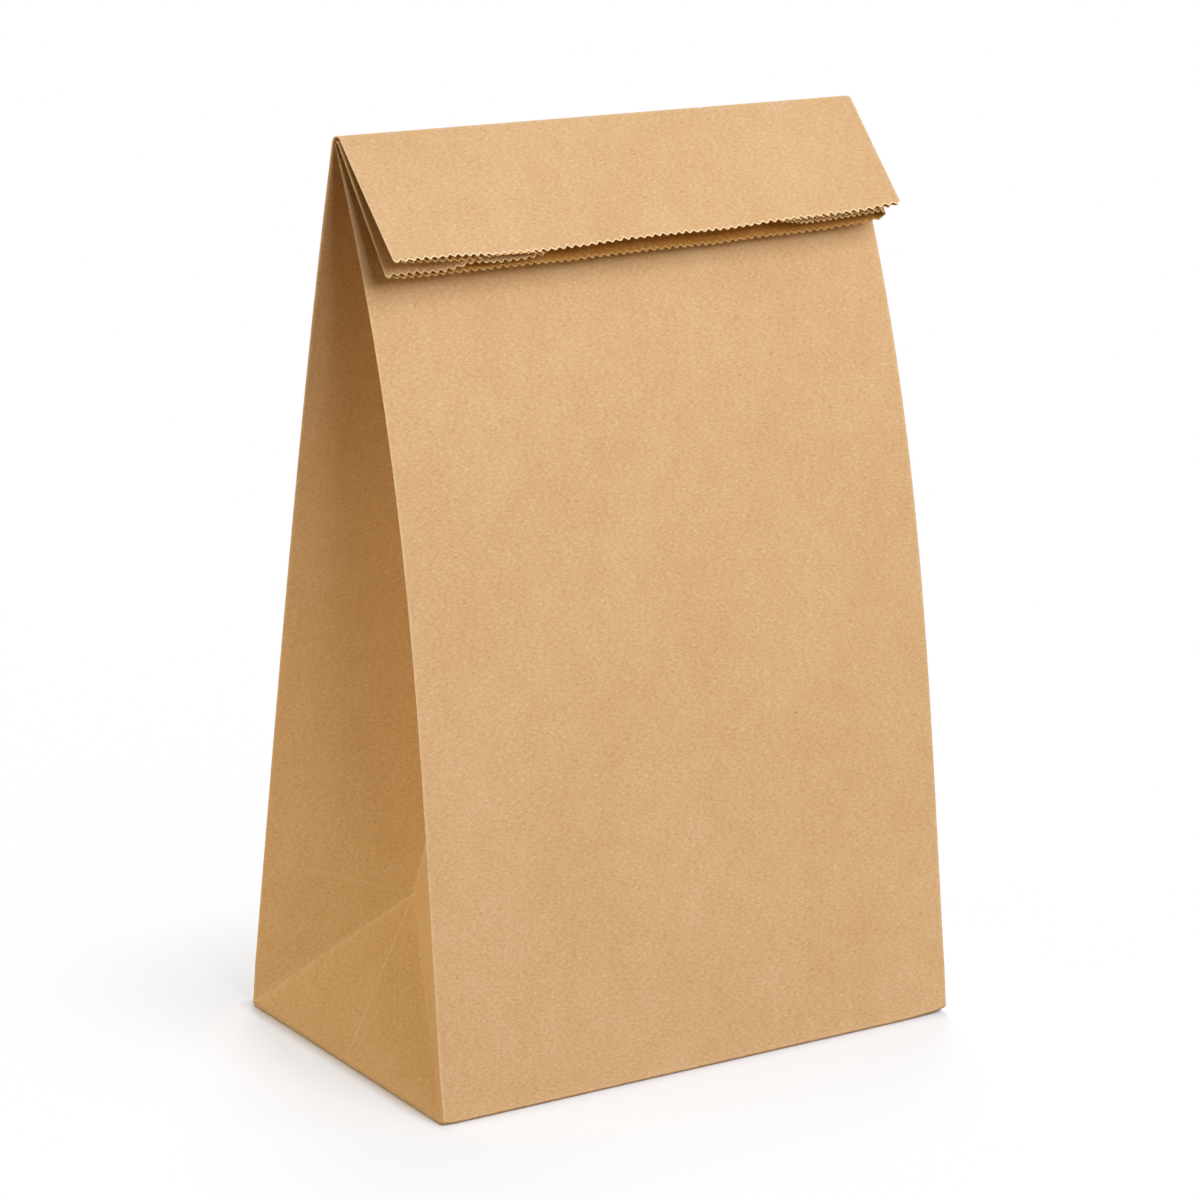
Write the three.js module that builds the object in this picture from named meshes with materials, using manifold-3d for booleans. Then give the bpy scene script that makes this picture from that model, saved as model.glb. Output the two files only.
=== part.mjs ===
// Brown paper lunch bag: one sheet of kraft paper, folded and pasted into a gusseted tube with a
// flat base. The serrated mouth is pinched flat and folded over once to the front, unsealed.
// Millimetres, +Z up. The origin is the middle of the base, and the front faces -Y.

import * as THREE from 'three';
import { mergeVertices } from 'three/addons/utils/BufferGeometryUtils.js';
import Module from 'manifold-3d';

// The sheet, and the pasted layers that make the base
const PAPER = 0.15;
const BASE_PLIES = 3;

// Base rectangle, and how far each side edge draws in by the top
const BASE_WIDTH = 130;
const BASE_DEPTH = 80;
const TOP_DRAW_IN = 1.3;

// Blunt corners of the base, and the height up the corner folds at which they have sharpened
const CORNER_RADIUS = 1.5;
const CORNER_RISE = 10;

// What the bow of a gusset takes off its half width, from panel edge to centre crease
const GUSSET_SLACK = 1.2;

// Lean of the panels from upright, in degrees, where they leave the base and where they meet the fold
const FRONT_LEAN_LOW = 9.4;
const FRONT_LEAN_HIGH = 27.6;
const BACK_LEAN_LOW = 7.4;
const BACK_LEAN_HIGH = 11.6;

// The fold: its ridge, the radius inside the front panel's turn, and the room between the layers
const RIDGE_HEIGHT = 196.5;
const RIDGE_SET_BACK = 8.2;
const FOLD_RADIUS = 0.6;
const FOLD_CLEARANCE = 0.7;
const FOLD_LAYERS = 4;

// The folded-over mouth: run past the fold, how steeply its upper strip drops and how far its two
// strips spread, in degrees, and how far the lower strip draws in at each end
const FLAP_RUN = 28.7;
const UPPER_STRIP_DROP = 46;
const STRIP_SPREAD = 9;
const LOWER_STRIP_INSET = 1.1;

// Serrated cut of the mouth
const TOOTH_PITCH = 2;
const TOOTH_DEPTH = 0.75;

// Facets
const LOW_STEPS = 4;
const HIGH_STEPS = 16;
const FOLD_STEPS = 8;
const CORNER_STEPS = 3;

// Points closer than this are one point
const WELD = 1e-5;

const PAPER_COLOUR = 0xd7af80;

// Sizes that follow
const BASE_THICKNESS = BASE_PLIES * PAPER;
const GUSSET_HALF = BASE_DEPTH / 2 - GUSSET_SLACK;
const FOLD_GAP = FOLD_LAYERS * PAPER + FOLD_CLEARANCE;
const OUTER_FOLD_RADIUS = FOLD_RADIUS + FOLD_GAP;
const FOLD_CENTRE = new THREE.Vector2(RIDGE_SET_BACK, RIDGE_HEIGHT - OUTER_FOLD_RADIUS);
const LOWER_STRIP_DROP = UPPER_STRIP_DROP + STRIP_SPREAD;
const TOP_HALF = BASE_WIDTH / 2 - TOP_DRAW_IN;

// How far past the serrated cut the outer skin, the inner skin and the knife reach
const OUTER_OVERRUN = 4 * TOOTH_DEPTH;
const INNER_OVERRUN = 6 * TOOTH_DEPTH;
const KNIFE_REACH = 8 * TOOTH_DEPTH;

const wasm = await Module();
wasm.setup();

const radians = THREE.MathUtils.degToRad;
const lerp = THREE.MathUtils.lerp;

// Side view, in (y, z): a point of the fold at a turn measured from +Y towards +Z
function onFold(radius, turn) {
  return new THREE.Vector2(Math.cos(turn), Math.sin(turn)).multiplyScalar(radius).add(FOLD_CENTRE);
}

// A panel from the base to the fold, with its height in step with the curve's parameter
function panelCurve(foot, leanLow, head, leanHigh) {
  const third = (head.y - foot.y) / 3;
  return new THREE.CubicBezierCurve(
    foot,
    new THREE.Vector2(foot.x + third * Math.tan(leanLow), foot.y + third),
    new THREE.Vector2(head.x - third * Math.tan(leanHigh), head.y - third),
    head,
  );
}

// Turns at which each panel enters and leaves the fold
const FRONT_TURNS = [-radians(FRONT_LEAN_HIGH), Math.PI / 2 + radians(LOWER_STRIP_DROP)];
const BACK_TURNS = [radians(BACK_LEAN_HIGH), Math.PI / 2 + radians(UPPER_STRIP_DROP)];

const FRONT_PANEL = panelCurve(
  new THREE.Vector2(-BASE_DEPTH / 2, 0),
  radians(FRONT_LEAN_LOW),
  onFold(FOLD_RADIUS, FRONT_TURNS[0]),
  radians(FRONT_LEAN_HIGH),
);
const BACK_PANEL = panelCurve(
  new THREE.Vector2(BASE_DEPTH / 2, 0),
  -radians(BACK_LEAN_LOW),
  onFold(OUTER_FOLD_RADIUS, BACK_TURNS[0]),
  -radians(BACK_LEAN_HIGH),
);

// A strip of the folded-over mouth at a distance past the fold
function onStrip(radius, turn, distance) {
  const heading = new THREE.Vector2(-Math.sin(turn), Math.cos(turn));
  return onFold(radius, turn).addScaledVector(heading, distance);
}

// One cross-section of the flattened tube: where its front and back panels are in the side view,
// half the panels' widths there, and the share of the way up to the gusset's low crease point
function station(front, back, frontHalf, backHalf, lowShare = 1) {
  const across = back.clone().sub(front);
  return {
    middle: front.clone().add(back).multiplyScalar(0.5),
    normal: across.clone().normalize(),
    halfGap: across.length() / 2,
    frontHalf,
    backHalf,
    lowShare,
  };
}

function bodyStation(t, lowShare = 1) {
  const half = BASE_WIDTH / 2 - TOP_DRAW_IN * t;
  return station(FRONT_PANEL.getPoint(t), BACK_PANEL.getPoint(t), half, half, lowShare);
}

// How far a gusset's centre crease lies inside the panels' edges
function creaseInward({ halfGap }) {
  return Math.sqrt(GUSSET_HALF ** 2 - halfGap ** 2);
}

// The low crease point of a gusset lies as high as the bag is half deep there, so that the
// base's edge, the diagonals and the centre crease keep their lengths in the sheet
function lowCreaseParameter() {
  let low = 0;
  let high = 1;
  while (high - low > Number.EPSILON) {
    const t = (low + high) / 2;
    const { middle, halfGap } = bodyStation(t);
    if (middle.y < halfGap) low = t;
    else high = t;
  }
  return low;
}

const LOW_CREASE_T = lowCreaseParameter();
const LOW_CREASE_INWARD = creaseInward(bodyStation(LOW_CREASE_T));

function flapStation(distance) {
  const share = distance / FLAP_RUN;
  return station(
    onStrip(FOLD_RADIUS, FRONT_TURNS[1], distance),
    onStrip(OUTER_FOLD_RADIUS, BACK_TURNS[1], distance),
    TOP_HALF - LOWER_STRIP_INSET * share,
    TOP_HALF,
  );
}

// Stations from a start height up the body, over the fold and past the mouth by the overrun
function stationsFrom(startHeight, overrun) {
  const stations = [];
  const startT = startHeight / FRONT_PANEL.v3.y;
  for (let step = 0; step < LOW_STEPS; step += 1) {
    const t = lerp(startT, LOW_CREASE_T, step / LOW_STEPS);
    stations.push(bodyStation(t, t / LOW_CREASE_T));
  }
  for (let step = 0; step < HIGH_STEPS; step += 1) {
    stations.push(bodyStation(lerp(LOW_CREASE_T, 1, step / HIGH_STEPS)));
  }
  for (let step = 0; step <= FOLD_STEPS; step += 1) {
    const share = step / FOLD_STEPS;
    const front = onFold(FOLD_RADIUS, lerp(...FRONT_TURNS, share));
    const back = onFold(OUTER_FOLD_RADIUS, lerp(...BACK_TURNS, share));
    stations.push(station(front, back, TOP_HALF, TOP_HALF));
  }
  stations.push(flapStation(FLAP_RUN / 2));
  stations.push(flapStation(FLAP_RUN + overrun));
  return stations;
}

// Right half of a section, in (x, distance from the middle): front edge, the gusset's two fold
// points and back edge. The two fold points are one above the low crease point.
function halfOutline(s) {
  const front = new THREE.Vector2(s.frontHalf, -s.halfGap);
  const back = new THREE.Vector2(s.backHalf, s.halfGap);
  if (s.lowShare < 1) {
    const inward = LOW_CREASE_INWARD * s.lowShare;
    const reach = (BASE_DEPTH / 2 - CORNER_RADIUS) * (1 - s.lowShare);
    const frontFold = new THREE.Vector2(s.frontHalf - inward, -reach);
    const backFold = new THREE.Vector2(s.backHalf - inward, reach);
    return [front, frontFold, backFold, back];
  }
  const crease = new THREE.Vector2((s.frontHalf + s.backHalf) / 2 - creaseInward(s), 0);
  return [front, crease, crease.clone(), back];
}

// Point where two lines meet, each given by a point and a direction
function meet(pointA, alongA, pointB, alongB) {
  const gap = pointB.clone().sub(pointA);
  const share = gap.cross(alongB) / alongA.cross(alongB);
  return pointA.clone().addScaledVector(alongA, share);
}

// The same half section on the inner face of the paper, one thickness in
function innerHalfOutline(s) {
  const [front, frontFold, backFold, back] = halfOutline(s);
  const across = new THREE.Vector2(1, 0);
  const frontAlong = frontFold.clone().sub(front).normalize();
  const backAlong = backFold.clone().sub(back).normalize();
  const frontIn = new THREE.Vector2(frontAlong.y, -frontAlong.x).multiplyScalar(-PAPER);
  const backIn = new THREE.Vector2(-backAlong.y, backAlong.x).multiplyScalar(-PAPER);
  const frontLine = frontFold.clone().add(frontIn);
  const backLine = backFold.clone().add(backIn);
  const frontFace = front.clone().add(new THREE.Vector2(0, PAPER));
  const backFace = back.clone().sub(new THREE.Vector2(0, PAPER));
  const innerFront = meet(frontFace, across, frontLine, frontAlong);
  const innerBack = meet(backFace, across, backLine, backAlong);
  if (s.lowShare < 1) {
    const wall = frontFold.clone().sub(new THREE.Vector2(PAPER, 0));
    const wallAlong = backFold.clone().sub(frontFold).normalize();
    const innerFrontFold = meet(wall, wallAlong, frontLine, frontAlong);
    const innerBackFold = meet(wall, wallAlong, backLine, backAlong);
    return [innerFront, innerFrontFold, innerBackFold, innerBack];
  }
  const past = PAPER * Math.min(1, creaseInward(s) / s.halfGap);
  frontLine.addScaledVector(frontAlong, past);
  backLine.addScaledVector(backAlong, past);
  return [innerFront, frontLine, backLine, innerBack];
}

// Points round a corner, from the side that faces the middle of the bag to the gusset's fold point
function blunted(corner, fold, radius) {
  const start = corner.clone().sub(new THREE.Vector2(radius, 0));
  const end = fold.clone().sub(corner).setLength(radius).add(corner);
  return new THREE.QuadraticBezierCurve(start, corner, end).getPoints(CORNER_STEPS);
}

// The whole ring of a section in space, the right half and its mirror image
function ring(s, outline, inset) {
  const [front, frontFold, backFold, back] = outline(s);
  const radius = Math.max(CORNER_RADIUS * (1 - s.middle.y / CORNER_RISE) - inset, 0);
  const frontCorner = blunted(front, frontFold, radius);
  const backCorner = blunted(back, backFold, radius).reverse();
  const right = [...frontCorner, frontFold, backFold, ...backCorner];
  const left = right.map((point) => new THREE.Vector2(-point.x, point.y)).reverse();
  return [...right, ...left].map((point) => {
    const side = s.middle.clone().addScaledVector(s.normal, point.y);
    return new THREE.Vector3(point.x, side.x, side.y);
  });
}

// Closed skin over a run of rings
function loft(rings) {
  const count = rings[0].length;
  const last = (rings.length - 1) * count;
  const index = [];
  for (let row = 0; row < rings.length - 1; row += 1) {
    for (let column = 0; column < count; column += 1) {
      const next = (column + 1) % count;
      const a = row * count + column;
      const b = row * count + next;
      index.push(a, b, b + count, a, b + count, a + count);
    }
  }
  for (let column = 0; column < count / 2 - 1; column += 1) {
    const mirror = count - 1 - column;
    for (const [a, b, c] of [[column, mirror, mirror - 1], [column, mirror - 1, column + 1]]) {
      index.push(a, b, c);
      index.push(last + a, last + c, last + b);
    }
  }
  const geometry = new THREE.BufferGeometry();
  geometry.setFromPoints(rings.flat());
  geometry.setIndex(index);
  return geometry;
}

// A closed geometry as a solid that can be joined and cut
function solid(geometry) {
  const bare = geometry.clone();
  bare.deleteAttribute('normal');
  bare.deleteAttribute('uv');
  const merged = mergeVertices(bare, WELD);
  const corners = merged.index.array;
  const triVerts = [];
  for (let i = 0; i < corners.length; i += 3) {
    const [a, b, c] = [corners[i], corners[i + 1], corners[i + 2]];
    if (a !== b && b !== c && c !== a) triVerts.push(a, b, c);
  }
  return new wasm.Manifold(new wasm.Mesh({
    numProp: 3,
    vertProperties: merged.attributes.position.array,
    triVerts: new Uint32Array(triVerts),
  }));
}

// What the serrated knife takes away: everything past a zigzag across the flattened mouth
function knife() {
  const mouth = flapStation(FLAP_RUN);
  const teeth = Math.ceil(BASE_WIDTH / TOOTH_PITCH) + 1;
  const start = -(teeth * TOOTH_PITCH) / 2;
  const outline = new THREE.Shape();
  outline.moveTo(start, KNIFE_REACH);
  outline.lineTo(start, 0);
  for (let tooth = 0; tooth < teeth; tooth += 1) {
    const left = start + tooth * TOOTH_PITCH;
    outline.lineTo(left + TOOTH_PITCH / 2, -TOOTH_DEPTH);
    outline.lineTo(left + TOOTH_PITCH, 0);
  }
  outline.lineTo(-start, KNIFE_REACH);
  const depth = KNIFE_REACH + 2 * mouth.halfGap;
  const geometry = new THREE.ExtrudeGeometry(outline, { depth, bevelEnabled: false });
  geometry.translate(0, 0, -depth / 2);
  const across = new THREE.Vector3(1, 0, 0);
  const through = new THREE.Vector3(0, -mouth.normal.x, -mouth.normal.y);
  const along = through.clone().cross(across);
  const frame = new THREE.Matrix4().makeBasis(across, along, through);
  frame.setPosition(0, mouth.middle.x, mouth.middle.y);
  return geometry.applyMatrix4(frame);
}

function paperBag() {
  const outerStations = stationsFrom(0, OUTER_OVERRUN);
  const innerStations = stationsFrom(BASE_THICKNESS, INNER_OVERRUN);
  const outer = loft(outerStations.map((s) => ring(s, halfOutline, 0)));
  const inner = loft(innerStations.map((s) => ring(s, innerHalfOutline, PAPER)));
  const cut = solid(outer).subtract(solid(inner)).subtract(solid(knife())).getMesh();
  const geometry = new THREE.BufferGeometry();
  geometry.setAttribute('position', new THREE.BufferAttribute(cut.vertProperties, 3));
  geometry.setIndex(new THREE.BufferAttribute(cut.triVerts, 1));
  geometry.computeVertexNormals();
  const material = new THREE.MeshStandardMaterial({ color: PAPER_COLOUR, roughness: 0.85, metalness: 0 });
  material.name = 'kraft_paper';
  const mesh = new THREE.Mesh(geometry, material);
  mesh.name = 'paper_bag';
  return mesh;
}

const bag = new THREE.Group();
bag.name = 'paper_lunch_bag';
bag.add(paperBag());

export default bag;
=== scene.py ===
"""Brown paper lunch bag, folded in code from its flat kraft sheet, on a white studio stage."""

import math

import bmesh
import bpy
import numpy as np
from bpy.props import FloatProperty, FloatVectorProperty, IntProperty, PointerProperty
from mathutils import Matrix, Vector


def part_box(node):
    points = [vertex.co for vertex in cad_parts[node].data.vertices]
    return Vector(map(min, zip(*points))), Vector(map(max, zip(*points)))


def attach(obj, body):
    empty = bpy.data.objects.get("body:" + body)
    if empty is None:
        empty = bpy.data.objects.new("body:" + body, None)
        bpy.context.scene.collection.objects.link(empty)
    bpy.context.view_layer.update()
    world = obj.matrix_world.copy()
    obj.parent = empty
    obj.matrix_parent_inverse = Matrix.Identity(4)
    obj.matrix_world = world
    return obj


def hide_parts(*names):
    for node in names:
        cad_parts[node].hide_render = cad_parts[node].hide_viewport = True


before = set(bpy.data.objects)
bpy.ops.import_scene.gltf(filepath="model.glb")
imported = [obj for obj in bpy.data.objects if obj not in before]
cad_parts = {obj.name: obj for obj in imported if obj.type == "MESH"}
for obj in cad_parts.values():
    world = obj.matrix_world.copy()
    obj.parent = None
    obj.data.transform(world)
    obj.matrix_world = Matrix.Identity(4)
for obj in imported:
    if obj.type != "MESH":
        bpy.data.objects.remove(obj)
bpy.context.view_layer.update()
LOW_CORNER, HIGH_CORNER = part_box("paper_bag")

bl_info = {
    "name": "Paper lunch bag",
    "version": (1, 0, 0),
    "blender": (4, 5, 0),
    "location": "3D View > Sidebar > Paper bag",
    "description": "Folds a brown paper lunch bag from its flat sheet and lights it on a white stage",
    "category": "Object",
}

MM = 0.001
DEG = math.pi / 180

# Slots of the bag's three finishes
OUTSIDE, INSIDE, CUT_EDGE = 0, 1, 2

# Angle between two faces from which their edge is drawn sharp
SHARP_EDGE = 50 * DEG

# Smallest share, or length in metres, that counts, and the reach of a cut to vertices beside it
TINY = 1e-6
CUT_REACH = 1e-7

# Spacing of the sheet's rows, and the cuts beside its folds, beside its creases and above the base
ROW_SPACING = 2.4 * MM
FOLD_CUTS = (-1.0 * MM, -0.6 * MM, -0.3 * MM, 0, 0.3 * MM, 0.6 * MM, 1.0 * MM)
CREASE_CUTS = (-0.3 * MM, 0, 0.3 * MM)
BASE_CUT = 0.6 * MM

# Spacing of the rows in the fold of the mouth, and how far they run past it
FOLD_ROW_SPACING = 0.35 * MM
FOLD_ROW_MARGIN = 1.2 * MM

# How far above the low crease point a face still counts as beside a gusset's diagonal
DIAGONAL_MARGIN = 2 * MM

# Cuts in each column's end from which the teeth are bent, and the width of their frayed edge, which is pale
# from torn fibres and also a painted highlight of the cut catching light
TOOTH_CUTS = 7
FRAYED_AND_LIT_WIDTH = 0.45 * MM

# Mean share of the full depth that the teeth have, and the strength, pace and phase of its changes
TOOTH_SHARE = 0.82
TOOTH_CHANGES = ((0.12, 1.7, 0), (0.06, 5.3, 1))

# How far the base's flaps lap over its middle, their faces, and their place in the paper's texture
BASE_LAP = 6 * MM
BASE_COLUMNS, BASE_ROWS = 24, 12
BASE_PATCH = Vector((0.1, 0.1))

# Widths of the wear at the outer folds, which also stands as a painted highlight of the rounded folds and the
# base edge catching light, at the creases and at the seam
FOLD_WEAR_AND_HIGHLIGHT_WIDTH = 0.5 * MM
CREASE_WEAR_WIDTH = 0.2 * MM
SEAM_WEAR_WIDTH = 0.5 * MM

# How strong the wear is at the creases, and how much of that shows at the seam and where the base was
# folded up when the bag lay flat
CREASE_WEAR = 0.9
FAINT_WEAR = 0.5

# Distance, in metres, that stands for places with no fold nearby
FAR_OFF = 1

# Stretch per millimetre of the sheet, turn and detail of the noise in the layers of fibres, in the pulp's
# clouds and drifts, and in the patches in which the folds are rubbed
FIBRE_LAYERS = (((0.85, 2.5), 0.4, 2), ((0.95, 2.8), 2.1, 2), ((1.1, 3.2), 1.2, 1))
CLOUDS = ((0.16, 0.16), 0, 3)
DRIFTS = ((0.045, 0.03), 0.3, 2)
PATCHES = ((0.4, 0.4), 0, 2)
NOISE_ROUGHNESS = 0.55

# Scale of the noise that bends the fibres, and how far it bends them, in millimetres
BEND_SCALE = 0.9
BEND = (1.2, 1.2, 0)

# Ranges of the noises that are brought to full strength, and the least wear between the rubbed patches
FIBRE_RANGE = (1.05, 1.95)
MOTTLE_RANGE = (0.3, 0.7)
PATCH_RANGE = (0.35, 0.6)
LEAST_RUBBED = 0.35

# Shares of the clouds and drifts in the mottling and of the clouds in the relief, and the strongest tone
MOTTLE_SHARE = 0.6
CLOUD_RELIEF = 0.5
TONE_LIMIT = 0.5

# Tints of the darker fibres, the lighter fibres and the rubbed folds, whose paleness is also a painted
# highlight
DARKER_TINT = (0.62, 0.5, 0.36, 1)
LIGHTER_TINT = (0.45, 0.42, 0.36, 1)
RUBBED_AND_LIT_TINT = (0.4, 0.34, 0.26, 1)

# Cells per millimetre that may hold a speck, the radii of its core and rim in cells, the share of cells
# without one, and how dark the darkest speck is
SPECK_SCALE = 0.17
SPECK_RADII = (0.018, 0.03)
CLEAN_SHARE = 0.8
SPECK_STRENGTH = 0.6

# Roughness from the deepest to the highest fibres, and the strength and depth of their relief
FIBRE_ROUGHNESS = (0.68, 0.8)
RELIEF_STRENGTH = 0.25
RELIEF_DEPTH = 0.04 * MM

# Distances from the base over which the floor gets its plain white: past the dark line of contact, near
# the bag, and far from it
CONTACT = 3 * MM
NEAR_REACH = 60 * MM
FAR_REACH = 300 * MM

# Half the floor's side, the point that the lamps aim at, and their distance from it, in metres
FLOOR_HALF = 6
LAMP_AIM = Vector((0, 0, 0.1))
LAMP_DISTANCE = 2

# The photograph's viewing angle: the camera's place in metres, its turns, sensor and farthest sight
CAMERA_PLACE = Vector((-0.531716, -0.790003, 0.369643))
CAMERA_YAW, CAMERA_PITCH, CAMERA_ROLL = 33.8035 * DEG, 16.1926 * DEG, -1.4150 * DEG
SENSOR_WIDTH = 36
FARTHEST_SIGHT = 50


class BagSizes(bpy.types.PropertyGroup):
    """Sizes of the flat sheet and of its folds"""

    width: FloatProperty(name="Width", description="Base width, left to right",
                         default=HIGH_CORNER.x - LOW_CORNER.x, unit="LENGTH")
    depth: FloatProperty(name="Depth", description="Base depth, front to back",
                         default=HIGH_CORNER.y - LOW_CORNER.y, unit="LENGTH")
    ridge_height: FloatProperty(name="Ridge height", description="Height of the fold's ridge",
                                default=HIGH_CORNER.z - LOW_CORNER.z, unit="LENGTH")
    ridge_set_back: FloatProperty(name="Ridge set-back", description="Ridge behind the middle of the base",
                                  default=8.2 * MM, unit="LENGTH")
    ridge_tilt: FloatProperty(name="Ridge tilt", description="Left end of the ridge above its middle",
                              default=0.7 * MM, unit="LENGTH")
    top_draw_in: FloatProperty(name="Draw-in", description="Side edges drawn in at the top",
                               default=1.3 * MM, unit="LENGTH")
    gusset_slack: FloatProperty(name="Gusset slack", description="Half width that a gusset's bow takes up",
                                default=1.2 * MM, unit="LENGTH")
    front_lean_low: FloatProperty(name="Front lean, low", description="Front panel from upright at the base",
                                  default=9.4 * DEG, unit="ROTATION")
    front_lean_high: FloatProperty(name="Front lean, high",
                                   description="Front panel from upright at the fold",
                                   default=27.6 * DEG, unit="ROTATION")
    back_lean_low: FloatProperty(name="Back lean, low", description="Back panel from upright at the base",
                                 default=7.4 * DEG, unit="ROTATION")
    back_lean_high: FloatProperty(name="Back lean, high", description="Back panel from upright at the fold",
                                  default=11.6 * DEG, unit="ROTATION")
    fold_radius: FloatProperty(name="Fold radius", description="Radius of the front panel's turn",
                               default=0.6 * MM, unit="LENGTH")
    fold_gap: FloatProperty(name="Fold gap", description="Front panel to back panel in the fold",
                            default=1.3 * MM, unit="LENGTH")
    flap_run: FloatProperty(name="Flap run", description="Folded-over mouth past the fold",
                            default=28.7 * MM, unit="LENGTH")
    upper_drop: FloatProperty(name="Flap drop", description="Upper strip of the mouth below level",
                              default=46 * DEG, unit="ROTATION")
    strip_spread: FloatProperty(name="Strip spread", description="Angle between the mouth's two strips",
                                default=9 * DEG, unit="ROTATION")
    lower_inset: FloatProperty(name="Lower strip inset", description="Lower strip drawn in at each end",
                               default=1.1 * MM, unit="LENGTH")
    tooth_pitch: FloatProperty(name="Tooth pitch", description="Pitch of the serrated cut",
                               default=2 * MM, unit="LENGTH")
    tooth_depth: FloatProperty(name="Tooth depth", description="Depth of the serrated cut",
                               default=0.75 * MM, unit="LENGTH")
    paper: FloatProperty(name="Paper", description="Thickness of the sheet",
                         default=0.15 * MM, unit="LENGTH")
    seam_place: FloatProperty(name="Seam place", description="Back seam to the right of the middle",
                              default=25 * MM, unit="LENGTH")
    seam_lap: FloatProperty(name="Seam lap", description="Sheet that laps under the back seam",
                            default=12 * MM, unit="LENGTH")
    base_fold_radius: FloatProperty(name="Base fold radius", description="Turn of the walls under the base",
                                    default=0.8 * MM, unit="LENGTH")
    cockle: FloatProperty(name="Cockle", description="Gentle waviness of the panels",
                          default=0.3 * MM, unit="LENGTH")


class PaperFinish(bpy.types.PropertyGroup):
    """Colours and texture of the kraft paper"""

    outside: FloatVectorProperty(name="Outside", description="Outer face of the paper",
                                 default=(0.638, 0.412, 0.221), subtype="COLOR", min=0, max=1)
    # Darker and deeper in tone than the outside as painted shade of the bag's dark interior; the real paper
    # is the same on both faces
    inside: FloatVectorProperty(name="Inside", description="Inner face of the paper",
                                default=(0.52, 0.25, 0.055), subtype="COLOR", min=0, max=1)
    # Pale cream of torn fibres, made brighter as a painted highlight so that the cut shows light even in
    # shade
    cut_edge: FloatVectorProperty(name="Cut edge", description="Torn fibres of the cut edge",
                                  default=(0.96, 0.78, 0.5), subtype="COLOR", min=0, max=1)
    # Darker and warmer than the cut edge as painted shade on the torn fibres of the inner face
    shaded_edge: FloatVectorProperty(name="Shaded edge", description="Torn fibres on the inner face",
                                     default=(0.88, 0.58, 0.25), subtype="COLOR", min=0, max=1)
    speck: FloatVectorProperty(name="Specks", description="Bark specks in the pulp",
                               default=(0.20, 0.10, 0.04), subtype="COLOR", min=0, max=1)
    fibre: FloatProperty(name="Fibre", description="Strength of the fibre pattern", default=0.27,
                         min=0, max=1)
    mottle: FloatProperty(name="Mottle", description="Strength of the cloudy mottling", default=0.075,
                          min=0, max=1)
    # Paleness of the folds: real rubbing, and a painted highlight of the outer folds catching light
    wear_and_highlight: FloatProperty(name="Fold wear", description="How much the folds are rubbed pale", default=0.55,
                        min=0, max=1)
    gloss: FloatProperty(name="Gloss", description="Gloss of the calendered outer face", default=0.03,
                         min=0, max=1)
    # How far the frayed band along the cut is lightened: torn fibres and a painted highlight
    fray_and_highlight: FloatProperty(name="Fray", description="How pale the frayed edge of the cut is", default=1,
                        min=0, max=1)


class StageSetup(bpy.types.PropertyGroup):
    """Floor, lamps and camera"""

    floor: FloatVectorProperty(name="Floor", description="Colour of the floor", default=(0.87, 0.885, 0.95),
                               subtype="COLOR", min=0, max=1)
    bounce: FloatVectorProperty(name="Bounce", description="Colour of the light that the floor throws back",
                                default=(0.34, 0.27, 0.16), subtype="COLOR", min=0, max=1)
    near_lift: FloatProperty(name="Near lift", description="Share of plain white in the floor beside the bag",
                             default=0.55, min=0, max=1)
    far_lift: FloatProperty(name="Far lift", description="Share of plain white in the floor a hand away",
                            default=0.985, min=0, max=1)
    ambient: FloatProperty(name="Ambient", description="Light from all around", default=0.02, min=0)
    ambient_colour: FloatVectorProperty(name="Ambient colour", description="Colour of that light",
                                        default=(1, 0.8, 0.5), subtype="COLOR", min=0, max=1)
    key: FloatProperty(name="Key", description="Power of the lamp above the front", default=38, unit="POWER",
                       min=0)
    front: FloatProperty(name="Front", description="Power of the low lamp before the front", default=4,
                         unit="POWER", min=0)
    front_colour: FloatVectorProperty(name="Front colour", description="Colour of the low lamp",
                                      default=(1, 0.8, 0.45), subtype="COLOR", min=0, max=1)
    right: FloatProperty(name="Right", description="Power of the lamp to the right", default=8, unit="POWER",
                         min=0)
    fill: FloatProperty(name="Fill", description="Power of the warm lamp to the left", default=27,
                        unit="POWER", min=0)
    fill_colour: FloatVectorProperty(name="Fill colour", description="Colour of the warm lamp",
                                     default=(1, 0.86, 0.57), subtype="COLOR", min=0, max=1)
    back: FloatProperty(name="Back", description="Power of the lamp behind", default=26, unit="POWER", min=0)
    lens: FloatProperty(name="Lens", description="Focal length", default=139.324, unit="CAMERA", min=1)
    columns: IntProperty(name="Floor columns", description="Faces along each side of the floor", default=8,
                         min=1)


# Shape of the folded sheet


def on_circle(centre, radius, turn):
    """Points of a circle in the side view, at turns from +Y towards +Z."""
    return centre + radius * np.stack([np.cos(turn), np.sin(turn)], axis=-1)


def heading(turn):
    """Direction in which a strip leaves a circle."""
    return np.stack([-np.sin(turn), np.cos(turn)], axis=-1)


def panel_curve(foot, lean_low, head, lean_high):
    """Control points of a panel in the side view, with its height in step with the parameter."""
    third = (head[1] - foot[1]) / 3
    low = np.array([foot[0] + third * math.tan(lean_low), foot[1] + third])
    high = np.array([head[0] - third * math.tan(lean_high), head[1] - third])
    return np.array([foot, low, high, head])


def along_curve(points, t):
    """Points of a cubic curve."""
    t = np.asarray(t)[..., None]
    rest = 1 - t
    return (rest ** 3 * points[0] + 3 * rest ** 2 * t * points[1]
            + 3 * rest * t ** 2 * points[2] + t ** 3 * points[3])


def curve_length(points, steps=400):
    """Length of a cubic curve."""
    line = along_curve(points, np.linspace(0, 1, steps))
    return float(np.linalg.norm(np.diff(line, axis=0), axis=1).sum())


def eased(share):
    """Smooth step from 0 to 1."""
    share = np.clip(share, 0, 1)
    return share * share * (3 - 2 * share)


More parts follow.
